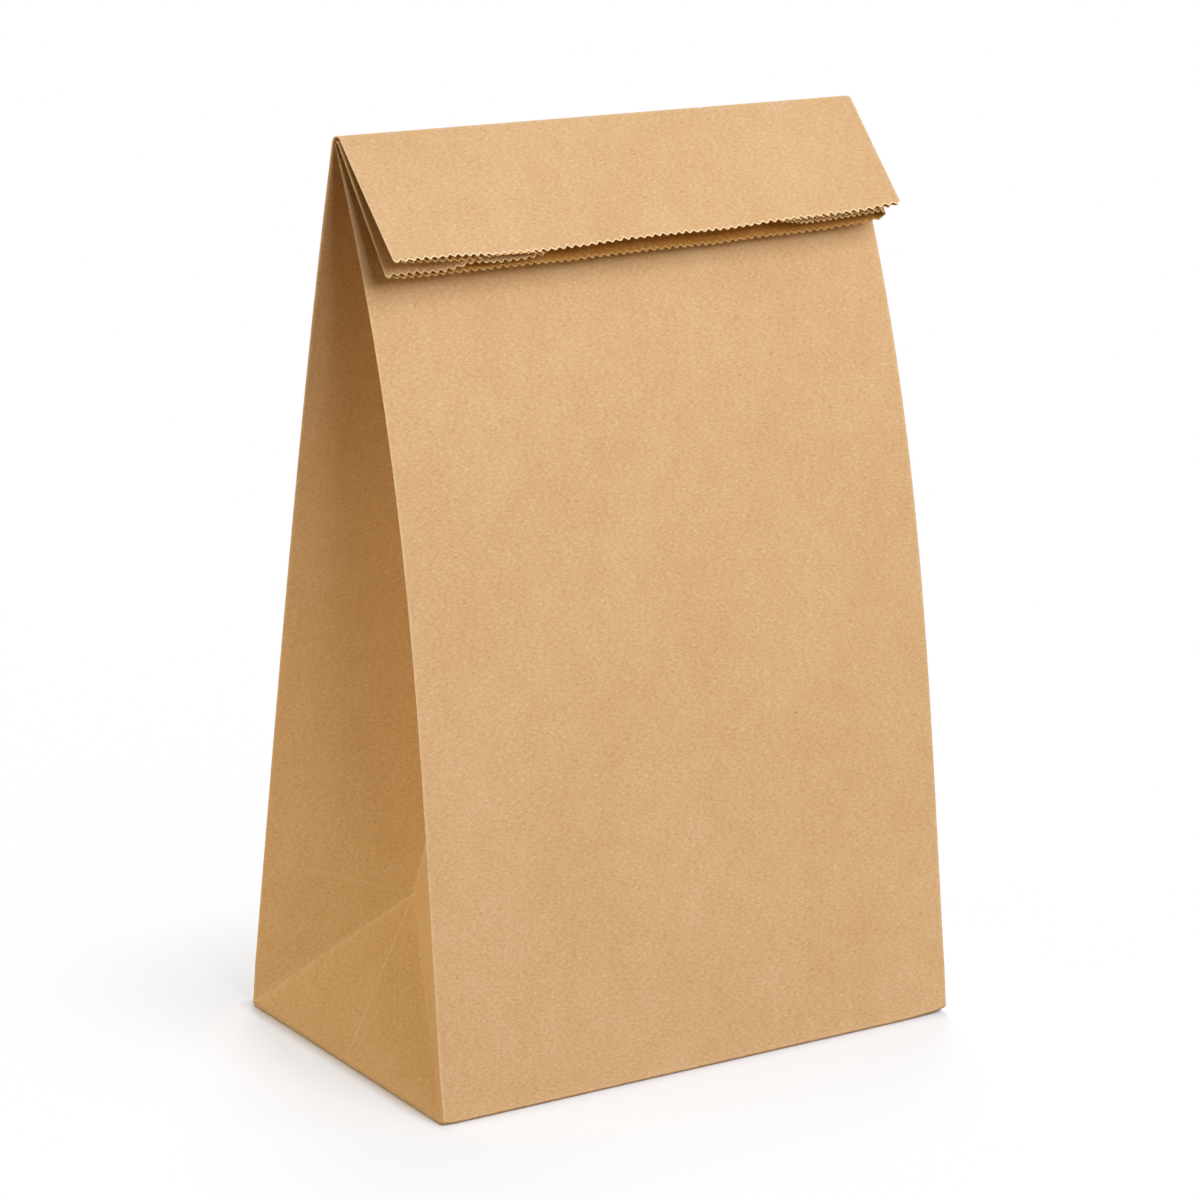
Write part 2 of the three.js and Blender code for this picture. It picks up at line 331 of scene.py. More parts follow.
def rounded(share):
    """Rise of a quarter circle from 0 to 1."""
    share = np.clip(share, 0, 1)
    return np.sqrt(1 - (1 - share) ** 2)


def soft_curve(places, values, at, blur=0.03, steps=7):
    """A line through knots, with its corners softened."""
    offsets = np.linspace(-blur, blur, steps)
    return sum(np.interp(at + offset, places, values) for offset in offsets) / len(offsets)


class FoldedForm:
    """Where each point of the flat sheet lies on the folded bag."""

    # Across the gussets' halves at the mouth, from the panels' folds to the crease: heights between the
    # lower strip, -1, and the upper strip, 1
    LEFT_FRONT = ((0, 0.05, 0.14, 0.26, 0.375, 0.43, 0.467, 0.515, 0.555, 0.72, 0.84, 0.92, 1),
                  (-1, -0.65, -0.6, -0.59, -0.65, -0.5, -0.29, 0.05, 0.12, -0.15, -0.07, 0.06, 0.55))
    LEFT_BACK = ((0, 0.06, 0.26, 0.43, 0.555, 0.65, 0.75, 0.9, 1),
                 (1, 0.8, 0.6, 0.4, 0.5, 0.84, 0.9, 0.85, 0.55))
    RIGHT_FRONT = ((0, 0.03, 0.1, 0.24, 0.48, 0.61, 0.76, 0.87, 1),
                   (-1, -0.1, 0.25, 0.31, 0.3, 0.26, 0.28, 0.6, 0.85))
    RIGHT_BACK = ((0, 0.03, 0.07, 0.16, 0.35, 0.7, 1), (1, 0.66, 0.6, 0.58, 0.7, 0.8, 0.85))

    # How pale the cut edge of the mouth's other layers is, as a share of the outer layer's: lower as painted
    # shade, since these layers lie in the flap's shade
    SHADED_LAYER_FRAY = 0.75

    # Share of the gusset's half width at which its crease lies at the mouth
    LEFT_REACH = 0.99
    RIGHT_REACH = 0.79

    # Sag of the mouth's upper and lower strips, across the width
    UPPER_PLACES = np.array([-63.6, -57, -50, -46, -40, -27, -16, -6, 2, 9, 20, 28, 34, 40, 50, 55, 60,
                             63.6]) * MM
    UPPER_SAG = np.array([-0.8, -0.6, -0.4, 0.1, 1.1, 2.1, 2.0, 1.4, 1.4, 1.7, 2.1, 1.6, 1.2, 1.3, 1.2, 1.1,
                          0.1, -0.5]) * MM
    LOWER_PLACES = np.array([-62.6, -58, -51, -42, -33, -24, -19, -10, 3, 12, 20, 27, 31, 40, 49, 54, 58,
                             60.5, 62.6]) * MM
    LOWER_SAG = np.array([0, 0.85, 1.4, 1.45, 1.6, 1.8, 2.2, 2.0, 2.0, 2.2, 2.65, 2.15, 2.05, 2.3, 2.1, 1.65,
                          1.2, 0.9, 0]) * MM

    # Power of the distance along the flap with which its sag grows
    SAG_GROWTH = 1.5

    # How far the ridge's left end leans back, and how far the flap's left end comes forward and down,
    # each as a share of the ridge's tilt
    RIDGE_BACK = 0.7
    FLAP_FORWARD = 1.7
    FLAP_DOWN = 1.4

    # Distance between a panel and the gusset folded against it, in paper thicknesses, and the run from
    # the fold in which it is reached
    LAYER_ROOM = 2.3
    FOLD_ROUNDING = 0.8 * MM

    # Distance between pasted layers, in paper thicknesses, and the run in which the seam's lap dips
    PASTED_ROOM = 1.1
    SEAM_DIP = 1.5 * MM

    # Reach over which the folds are softened, and how much longer it is at the foot of the base's corners
    SOFTENING = 0.35 * MM
    CORNER_SOFTENING = 1.0 * MM
    CORNER_RISE = 10 * MM

    # How far a vertex may stand out of the base's corners, and how far inside them it is brought back
    CORNER_PLAY = 0.05 * MM
    CORNER_TUCK = 1.2 * MM

    # Distances from the panels' folds, the base and the mouth's fold in which the waviness sets in
    STILL_SIDE = 30 * MM
    STILL_FOOT = 40 * MM
    STILL_HEAD = 30 * MM

    # Strength of each wave, its pace across and up the sheet in radians per unit, and its phase
    WAVE_UNIT = 100 * MM
    WAVES = ((1, 5.1, 2.3, 0.6), (0.7, 2.2, -7.4, 1.9), (0.5, 9.7, 5.8, 4.1))

    # Blunt tips of the base's corners, and the front right one that stands a little off the floor
    TIP_LIFT = 0.6 * MM
    TIP_REACH = 3 * MM
    LOOSE_LIFT = 0.8 * MM
    LOOSE_REACH = 16 * MM
    LIFT_FADE = 20 * MM

    def __init__(self, sizes):
        self.sizes = sizes
        self.half_width = sizes.width / 2
        self.half_depth = sizes.depth / 2
        self.gusset_half = self.half_depth - sizes.gusset_slack
        self.layer = self.LAYER_ROOM * sizes.paper
        self.outer_radius = sizes.fold_radius + sizes.fold_gap
        self.centre = np.array([sizes.ridge_set_back, sizes.ridge_height - self.outer_radius])
        self.front_turns = (-sizes.front_lean_high, math.pi / 2 + sizes.upper_drop + sizes.strip_spread)
        self.back_turns = (sizes.back_lean_high, math.pi / 2 + sizes.upper_drop)
        front_head = on_circle(self.centre, sizes.fold_radius, np.array(self.front_turns[0]))
        back_head = on_circle(self.centre, self.outer_radius, np.array(self.back_turns[0]))
        self.front_curve = panel_curve((-self.half_depth, 0), sizes.front_lean_low,
                                       front_head, sizes.front_lean_high)
        self.back_curve = panel_curve((self.half_depth, 0), -sizes.back_lean_low,
                                      back_head, -sizes.back_lean_high)
        self.body = (curve_length(self.front_curve) + curve_length(self.back_curve)) / 2
        mean_turn = (np.ptp(self.front_turns) + np.ptp(self.back_turns)) / 2
        self.fold = mean_turn * (sizes.fold_radius + self.outer_radius) / 2
        self.length = self.body + self.fold + sizes.flap_run
        self.lowest = -sizes.base_fold_radius * math.pi / 2
        self.folds = np.cumsum([self.half_width + sizes.seam_place, sizes.depth, sizes.width, sizes.depth])
        self.creases = (self.folds[0] + self.half_depth, self.folds[2] + self.half_depth)
        self.seam = float(self.folds[3] + self.half_width - sizes.seam_place)
        self.girth = self.seam + sizes.seam_lap
        self.low_t = self.low_crease_parameter()
        self.low_v = self.low_t * self.body

    def low_crease_parameter(self, steps=4001):
        """Parameter at which a gusset's diagonals meet, as high as half the bag's depth there."""
        t = np.linspace(0, 1, steps)
        front, back = along_curve(self.front_curve, t), along_curve(self.back_curve, t)
        half_gap = np.linalg.norm(back - front, axis=1) / 2
        height = (front[:, 1] + back[:, 1]) / 2
        return float(t[np.argmax(height >= half_gap)])

    def section(self, v):
        """Front and back points of the side view, and the share of the flap, at heights in the sheet."""
        sizes = self.sizes
        t = np.clip(v / self.body, 0, 1)
        front, back = along_curve(self.front_curve, t), along_curve(self.back_curve, t)
        share = np.clip((v - self.body) / self.fold, 0, 1)
        front_turn = self.front_turns[0] + share * (self.front_turns[1] - self.front_turns[0])
        back_turn = self.back_turns[0] + share * (self.back_turns[1] - self.back_turns[0])
        past = (v > self.body)[:, None]
        distance = np.clip(v - self.body - self.fold, 0, None)[:, None]
        front_past = on_circle(self.centre, sizes.fold_radius, front_turn) + heading(front_turn) * distance
        back_past = on_circle(self.centre, self.outer_radius, back_turn) + heading(back_turn) * distance
        flap_share = distance[:, 0] / sizes.flap_run
        return np.where(past, front_past, front), np.where(past, back_past, back), flap_share

    def gusset(self, across, half_gap, low_share, flap_share, side):
        """Inward and crosswise place on a gusset, from the front fold across to the back fold."""
        half = self.half_depth
        front_half = across <= half
        q = np.where(front_half, across, 2 * half - across) / half
        sign = np.where(front_half, -1.0, 1.0)
        inward = np.sqrt(np.maximum(self.gusset_half ** 2 - half_gap ** 2, 0))
        reach = self.LEFT_REACH if side < 0 else self.RIGHT_REACH
        inward = inward * (1 + (reach - 1) * flap_share)
        pleat_in = inward * q
        front_knots, back_knots = self.LEFT_FRONT, self.LEFT_BACK
        if side > 0:
            front_knots, back_knots = self.RIGHT_FRONT, self.RIGHT_BACK
        room = np.minimum(self.layer, half_gap * 2 / 3)
        by_fold = room * rounded(pleat_in / self.FOLD_ROUNDING)
        by_crease = room / 2 * rounded((inward - pleat_in) / self.FOLD_ROUNDING)
        in_body = np.minimum(np.maximum(half_gap * (q - 1), by_fold - half_gap), -by_crease)
        front_mouth = np.maximum(half_gap * soft_curve(*front_knots, q), by_fold - half_gap)
        back_mouth = np.minimum(half_gap * soft_curve(*back_knots, q), half_gap - by_fold)
        back_mouth = np.maximum(back_mouth, front_mouth + 2 * by_crease)
        pleat = np.where(front_half, in_body, -in_body)
        pleat = pleat + (np.where(front_half, front_mouth, back_mouth) - pleat) * eased(flap_share)
        low = low_share < 1
        if low.any():
            low_in = self.low_inward()
            diagonal = np.maximum(low_share, TINY)
            wall = q > diagonal
            to_diagonal = np.clip(q / diagonal, 0, 1)
            cross = half * (1 - low_share)
            low_pleat = np.where(wall, cross * (1 - q) / np.maximum(1 - diagonal, TINY),
                                 half_gap + (cross - half_gap) * to_diagonal)
            low_place = low_in * low_share * to_diagonal
            pleat_in = np.where(low, low_place, pleat_in)
            pleat = np.where(low, sign * low_pleat, pleat)
        return pleat_in, pleat

    def low_inward(self):
        """How far inside the panels' edges the low crease point lies."""
        front, back = along_curve(self.front_curve, self.low_t), along_curve(self.back_curve, self.low_t)
        half_gap = np.linalg.norm(back - front) / 2
        return math.sqrt(self.gusset_half ** 2 - half_gap ** 2)

    def place(self, u, v):
        """Points in space of places in the flat sheet, with sharp folds."""
        sizes = self.sizes
        turn_under = np.clip(-v / sizes.base_fold_radius, 0, math.pi / 2)
        tucked = sizes.base_fold_radius * (1 - np.cos(turn_under))
        wall_v = np.where(v > 0, v, 0)
        front, back, flap_share = self.section(wall_v)
        across = back - front
        half_gap = np.linalg.norm(across, axis=1) / 2
        normal = across / (2 * half_gap[:, None])
        middle = (front + back) / 2
        rise = np.clip(wall_v / self.body, 0, 1)
        back_half = self.half_width - sizes.top_draw_in * rise
        front_half = back_half - sizes.lower_inset * flap_share
        low_share = np.clip(wall_v / self.low_v, 0, 1)

        x = np.zeros_like(u)
        d = np.zeros_like(u)
        f0, f1, f2, f3 = self.folds
        lap = np.clip((u - self.seam + self.SEAM_DIP) / self.SEAM_DIP, 0, 1)

        on_back = (u < f0) | (u >= f3)
        back_x = np.where(u < f0, sizes.seam_place - u, self.half_width - (u - f3)) / self.half_width
        x = np.where(on_back, back_x * back_half, x)
        d = np.where(on_back, half_gap - lap * self.PASTED_ROOM * sizes.paper - tucked, d)

        on_front = (u >= f1) & (u < f2)
        x = np.where(on_front, (u - f1 - self.half_width) / self.half_width * front_half, x)
        d = np.where(on_front, -half_gap + tucked, d)

        on_left = (u >= f0) & (u < f1)
        on_right = (u >= f2) & (u < f3)
        for side, inside, from_front in ((-1, on_left, f1 - u), (1, on_right, u - f2)):
            crosswise = np.clip(from_front, 0, sizes.depth)
            pleat_in, pleat = self.gusset(crosswise, half_gap, low_share, flap_share, side)
            edge = (front_half + back_half) / 2 + (back_half - front_half) / 2 * pleat / half_gap
            x = np.where(inside, side * (edge - pleat_in - tucked), x)
            d = np.where(inside, pleat, d)

        waves = self.waves(u, v)
        d = d + np.where(on_front, -waves, np.where(on_back, waves, 0))

        upper = np.clip((d / half_gap + 1) / 2, 0, 1)
        upper_sag = np.interp(x, self.UPPER_PLACES, self.UPPER_SAG)
        lower_sag = np.interp(x, self.LOWER_PLACES, self.LOWER_SAG)
        d = d - (lower_sag + (upper_sag - lower_sag) * upper) * flap_share ** self.SAG_GROWTH

        side_view = middle + normal * d[:, None]
        tilt = -x / self.half_width * sizes.ridge_tilt
        lift = eased(rise) * rise
        y = side_view[:, 0] + tilt * (self.RIDGE_BACK * lift - self.FLAP_FORWARD * flap_share)
        z = side_view[:, 1] + tilt * (lift - self.FLAP_DOWN * flap_share)
        wall_z = sizes.base_fold_radius * (1 - np.sin(turn_under))
        z = np.where(v > 0, np.maximum(z, sizes.base_fold_radius), wall_z)
        return np.stack([x, y, z], axis=1)

    def corner_lift(self, point):
        """How far a point near the floor is lifted at the base's corners."""
        fade = max(0, 1 - point.z / self.LIFT_FADE) ** 2
        to_tip = math.hypot(self.half_width - abs(point.x), self.half_depth - abs(point.y))
        to_loose = math.hypot(self.half_width - point.x, self.half_depth + point.y)
        tip = self.TIP_LIFT * max(0, 1 - to_tip / self.TIP_REACH) ** 2
        return fade * (tip + self.LOOSE_LIFT * max(0, 1 - to_loose / self.LOOSE_REACH) ** 2)

    def flat_place(self, u):
        """Place across the width at which each point lay when the mouth was cut, with the bag flat."""
        f0, f1, f2, f3 = self.folds
        if u < f0:
            return self.sizes.seam_place - u
        if u < f1:
            return min(u - f0, f1 - u) - self.half_width
        if u < f2:
            return u - f1 - self.half_width
        if u < f3:
            return self.half_width - min(u - f2, f3 - u)
        return self.half_width - (u - f3)

    def fray_and_highlight(self, u):
        """How pale the cut edge is: most on the flap's outer layer, as a painted highlight where light
        reaches it and as wear where hands rub it; the inner layers get less, as painted shade.
        """
        return 1.0 if u < self.folds[0] or u > self.folds[3] else self.SHADED_LAYER_FRAY

    def waves(self, u, v):
        """Gentle waviness of the front and back panels, still at their folds."""
        edges = np.concatenate([[-self.folds[0]], self.folds, [self.folds[3] + self.folds[0]]])
        gap = np.min(np.abs(u[:, None] - edges[None, :]), axis=1)
        fade = (eased(gap / self.STILL_SIDE) * eased(v / self.STILL_FOOT)
                * eased((self.body - v) / self.STILL_HEAD))
        f0, f3 = self.folds[0], self.folds[3]
        across = np.where(u < f0, self.sizes.seam_place - u, u)
        across = np.where(u >= f3, self.half_width - (u - f3), across)
        a, b = across / self.WAVE_UNIT, v / self.WAVE_UNIT
        wave = sum(strength * np.sin(sideways * a + upward * b + phase)
                   for strength, sideways, upward, phase in self.WAVES)
        return self.sizes.cockle * wave / 2 * fade

    def folded(self, u, v):
        """Points in space of places in the flat sheet, with the folds softened."""
        corner = 1 - np.clip(v / self.CORNER_RISE, 0, 1)
        reach = self.SOFTENING + self.CORNER_SOFTENING * corner
        total = 2 * self.place(u, v)
        for step in (-1, 1):
            total += self.place(np.clip(u + step * reach, 0, self.girth), v)
            total += self.place(u, np.clip(v + step * self.SOFTENING, np.minimum(v, 0), self.length))
        return total / 6


# The sheet


def with_borders(faces):
    """Faces with their vertices and edges, in an order that is the same in each run."""
    verts = dict.fromkeys(vert for face in faces for vert in face.verts)
    edges = dict.fromkeys(edge for face in faces for edge in face.edges)
    return [*verts, *edges, *faces]


def cut_across(bm, place, direction, faces=None):
    """Cuts the flat sheet along a line through a place."""
    faces = bm.faces[:] if faces is None else faces
    normal = Vector((direction[1], -direction[0], 0))
    bmesh.ops.bisect_plane(bm, geom=with_borders(faces), dist=CUT_REACH,
                           plane_co=Vector((place[0], place[1], 0)), plane_no=normal)


def flat_sheet(bm, form):
    """The flat sheet with its fold lines, lying in XY from the seam's edge and the base's edge."""
    sizes = form.sizes
    columns = round(form.girth / sizes.tooth_pitch)
    rows = round(form.length / ROW_SPACING)
    bmesh.ops.create_grid(bm, x_segments=columns, y_segments=rows, size=0.5)
    height = form.length - form.lowest
    bmesh.ops.scale(bm, vec=(form.girth, height, 1), verts=bm.verts)
    bmesh.ops.translate(bm, vec=(form.girth / 2, form.lowest + height / 2, 0), verts=bm.verts)
    for fold in (*form.folds, *form.creases):
        for offset in FOLD_CUTS:
            cut_across(bm, (fold + offset, 0), (0, 1))
    for place in (form.seam, form.seam - form.SEAM_DIP, SEAM_WEAR_WIDTH):
        cut_across(bm, (place, 0), (0, 1))
    heights = [0, form.lowest / 3, form.lowest * 2 / 3, BASE_CUT]
    heights += [form.low_v + offset for offset in CREASE_CUTS]
    fold_start, fold_end = form.body - FOLD_ROW_MARGIN, form.body + form.fold + FOLD_ROW_MARGIN
    heights += list(np.arange(fold_start, fold_end, FOLD_ROW_SPACING))
    heights += [form.length - 2 * sizes.tooth_depth, form.length - FRAYED_AND_LIT_WIDTH]
    for height in heights:
        cut_across(bm, (0, height), (1, 0))
    for crease in form.creases:
        for side in (-1, 1):
            for offset in CREASE_CUTS:
                cut_diagonal(bm, form, crease, side, offset)


def cut_diagonal(bm, form, crease, side, offset):
    """Cuts a line along a gusset's diagonal fold, from a corner of the base to the low crease point."""
    half = form.half_depth
    near, far = sorted((crease, crease + side * half))
    faces = []
    for face in bm.faces:
        middle = face.calc_center_median()
        if near < middle.x < far and middle.y < form.low_v + DIAGONAL_MARGIN:
            faces.append(face)
    cut_across(bm, (crease + side * half, offset), (-side * half, form.low_v), faces)


def cut_teeth(bm, form):
    """The serrated cut along the mouth, with its frayed edge, which is marked pale for torn fibres and for a
    painted highlight of the cut.
    """
    sizes = form.sizes
    frayed_and_lit = form.length - FRAYED_AND_LIT_WIDTH - TINY
    mouth = []
    for edge in bm.edges:
        heights = [vert.co.y for vert in edge.verts]
        if min(heights) > frayed_and_lit and max(heights) - min(heights) < TINY:
            mouth.append(edge)
    bmesh.ops.subdivide_edges(bm, edges=mouth, cuts=TOOTH_CUTS, use_grid_fill=True)
    fray_and_highlight_layer = bm.verts.layers.float["cut_fray_and_highlight"]
    for vert in bm.verts:
        if vert.co.y > frayed_and_lit:
            if vert.co.y > form.length - TINY:
                vert[fray_and_highlight_layer] = form.fray_and_highlight(vert.co.x)
            place = form.flat_place(vert.co.x) / sizes.tooth_pitch
            changes = (strength * math.sin(pace * place + phase) for strength, pace, phase in TOOTH_CHANGES)
            uneven = sum(changes, TOOTH_SHARE)
            bite = 0.5 - 0.5 * math.cos(2 * math.pi * place)
            vert.co.y -= sizes.tooth_depth * bite * uneven


def fold_wear_and_highlight(form, u, v):
    """How much the sheet is rubbed pale at each place: most at its outer folds and the base edge, where the
    paleness is also a painted highlight of the rounded folds catching light, less at its creases.
    """
    outer = [np.abs(u - fold) for fold in form.folds]
    outer.append(np.abs(v))
    inner = [np.abs(u - crease) for crease in form.creases]
    slope = form.low_v / form.half_depth
    for crease in form.creases:
        from_corner = form.half_depth - np.abs(u - crease)
        diagonal = np.abs(v - slope * from_corner) / math.hypot(1, slope)
        inner.append(np.where((from_corner > 0) & (v < form.low_v), diagonal, FAR_OFF))
    packed_flat = np.abs(v - form.low_v)
    packed_flat = np.where((u > form.creases[0]) & (u < form.creases[1]), FAR_OFF, packed_flat)
    at_folds = np.exp(-(np.min(np.stack(outer), axis=0) / FOLD_WEAR_AND_HIGHLIGHT_WIDTH) ** 2)
    at_creases = np.exp(-(np.min(np.stack(inner), axis=0) / CREASE_WEAR_WIDTH) ** 2)
    at_seam = np.clip(1 - u / SEAM_WEAR_WIDTH, 0, 1)
    at_base_fold = np.exp(-(packed_flat / CREASE_WEAR_WIDTH) ** 2)
    faint = np.maximum(at_seam, at_base_fold)
    return np.maximum(at_folds, CREASE_WEAR * np.maximum(at_creases, FAINT_WEAR * faint))


def base_flaps(bm, form):
    """The pasted flaps under the base, the front one lowest."""
    sizes = form.sizes
    inset = sizes.base_fold_radius
    width, depth = sizes.width - 2 * inset, sizes.depth - 2 * inset
    layers = ((-depth / 2, depth / 2, 0, 2), (-BASE_LAP, depth / 2, 1, 1), (-depth / 2, BASE_LAP, -1, 0))
    made = []
    for front, back, pointed, level in layers:
        grid = bmesh.ops.create_grid(bm, x_segments=BASE_COLUMNS, y_segments=BASE_ROWS, size=0.5)["verts"]
        for vert in grid:
            vert.co.x *= width
            vert.co.y = front + (back - front) * (vert.co.y + 0.5)
            vert.co.z = level * form.PASTED_ROOM * sizes.paper
        faces = list(dict.fromkeys(face for vert in grid for face in vert.link_faces))
        if pointed:
            for side in (-1, 1):
                corner = Vector((side * width / 2, pointed * depth / 2, 0))
                kept = bmesh.ops.bisect_plane(bm, geom=with_borders(faces), dist=CUT_REACH, plane_co=corner,
                                              plane_no=(side, -pointed, 0), clear_outer=True)
                faces = [item for item in kept["geom"] if isinstance(item, bmesh.types.BMFace)]
        made += faces
    bmesh.ops.reverse_faces(bm, faces=made)
    return made


def give_thickness(bm, thickness):
    """Thickens the sheet to its inner side, and sorts its faces into the three finishes."""
    sheet = bm.faces[:]
    outer = set(sheet)
    bmesh.ops.solidify(bm, geom=sheet, thickness=thickness)
    for face in bm.faces:
        face.smooth = True
        if face in outer:
            face.material_index = OUTSIDE
        elif any(other in outer for edge in face.edges for other in edge.link_faces):
            face.material_index = CUT_EDGE
        else:
            face.material_index = INSIDE


def tuck_corners(bm, form):
    """Brings back inside what the thickening pushed out of the base's corners."""
    for vert in bm.verts:
        across, along, height = vert.co
        past = max(abs(across) - form.half_width, abs(along) - form.half_depth)
        if past > form.CORNER_PLAY and height < form.CORNER_RISE:
            vert.co.x = math.copysign(form.half_width - form.CORNER_TUCK, across)
            vert.co.y = math.copysign(form.half_depth - form.CORNER_TUCK, along)


def mesh_object(name, bm, finishes):
    """A finished mesh as an object in the scene."""
    mesh = bpy.data.meshes.new(name)
    bm.to_mesh(mesh)
    bm.free()
    for finish in finishes:
        mesh.materials.append(finish)
    item = bpy.data.objects.new(name, mesh)
    bpy.context.scene.collection.objects.link(item)
    return item


def paper_bag(sizes, finishes):
    """The folded bag as one mesh object."""
    form = FoldedForm(sizes)
    bm = bmesh.new()
    uv_layer = bm.loops.layers.uv.new("sheet")
    wear_and_highlight_layer = bm.verts.layers.float.new("fold_wear_and_highlight")
    bm.verts.layers.float.new("cut_fray_and_highlight")
    flat_sheet(bm, form)
    cut_teeth(bm, form)
    for face in bm.faces:
        for loop in face.loops:
            loop[uv_layer].uv = loop.vert.co.xy / form.girth
    flat = np.array([vert.co.xy for vert in bm.verts])
    u, v = flat[:, 0], flat[:, 1]
    for vert, place, worn_and_lit in zip(bm.verts, form.folded(u, v), fold_wear_and_highlight(form, u, v)):
        vert.co = place
        vert[wear_and_highlight_layer] = worn_and_lit
    for face in base_flaps(bm, form):
        for loop in face.loops:
            loop[uv_layer].uv = (loop.vert.co.xy + BASE_PATCH) / form.girth
    for vert in bm.verts:
        vert.co.z += form.corner_lift(vert.co)
    give_thickness(bm, sizes.paper)
    tuck_corners(bm, form)
    bag = mesh_object("folded_paper_bag", bm, finishes)
    bag.data.set_sharp_from_angle(angle=SHARP_EDGE)
    return bag


# Paper finishes


def add_node(tree, kind, **settings):
    """A node with its settings."""
    node = tree.nodes.new(kind)
    for name, value in settings.items():
        setattr(node, name, value)
    return node


def feed(tree, socket, value):
    """Links an input to another node's output, or gives it a value of its own."""
    if isinstance(value, bpy.types.NodeSocket):
        tree.links.new(value, socket)
    else:
        socket.default_value = value


def blend_colours(tree, mode, share, first, second):
    """A blend of two colours, each an output or a value."""
    node = add_node(tree, "ShaderNodeMix", data_type="RGBA", blend_type=mode)
    for socket, value in ((node.inputs[0], share), (node.inputs[6], first), (node.inputs[7], second)):
        feed(tree, socket, value)
    return node.outputs[2]


def reckon(tree, operation, *values):
    """The result of a calculation with outputs or values."""
    node = add_node(tree, "ShaderNodeMath", operation=operation)
    for socket, value in zip(node.inputs, values):
        feed(tree, socket, value)
    return node.outputs[0]


def remap(tree, value, low, high, to_low=0.0, to_high=1.0):
    """A value brought from one range to another, and kept inside it."""
    node = add_node(tree, "ShaderNodeMapRange")
    tree.links.new(value, node.inputs[0])
    for socket, number in zip(node.inputs[1:5], (low, high, to_low, to_high)):
        socket.default_value = number
    return node.outputs[0]


def grain(tree, vector, scale, turn, detail):
    """Noise on the sheet, stretched and turned."""
    mapping = add_node(tree, "ShaderNodeMapping")
    mapping.inputs["Rotation"].default_value = (0, 0, turn)
    mapping.inputs["Scale"].default_value = (*scale, 1)
    tree.links.new(vector, mapping.inputs["Vector"])
    noise = add_node(tree, "ShaderNodeTexNoise", noise_dimensions="2D")
    noise.inputs["Scale"].default_value = 1
    noise.inputs["Detail"].default_value = detail
    noise.inputs["Roughness"].default_value = NOISE_ROUGHNESS
    tree.links.new(mapping.outputs[0], noise.inputs["Vector"])
    return noise.outputs[0]


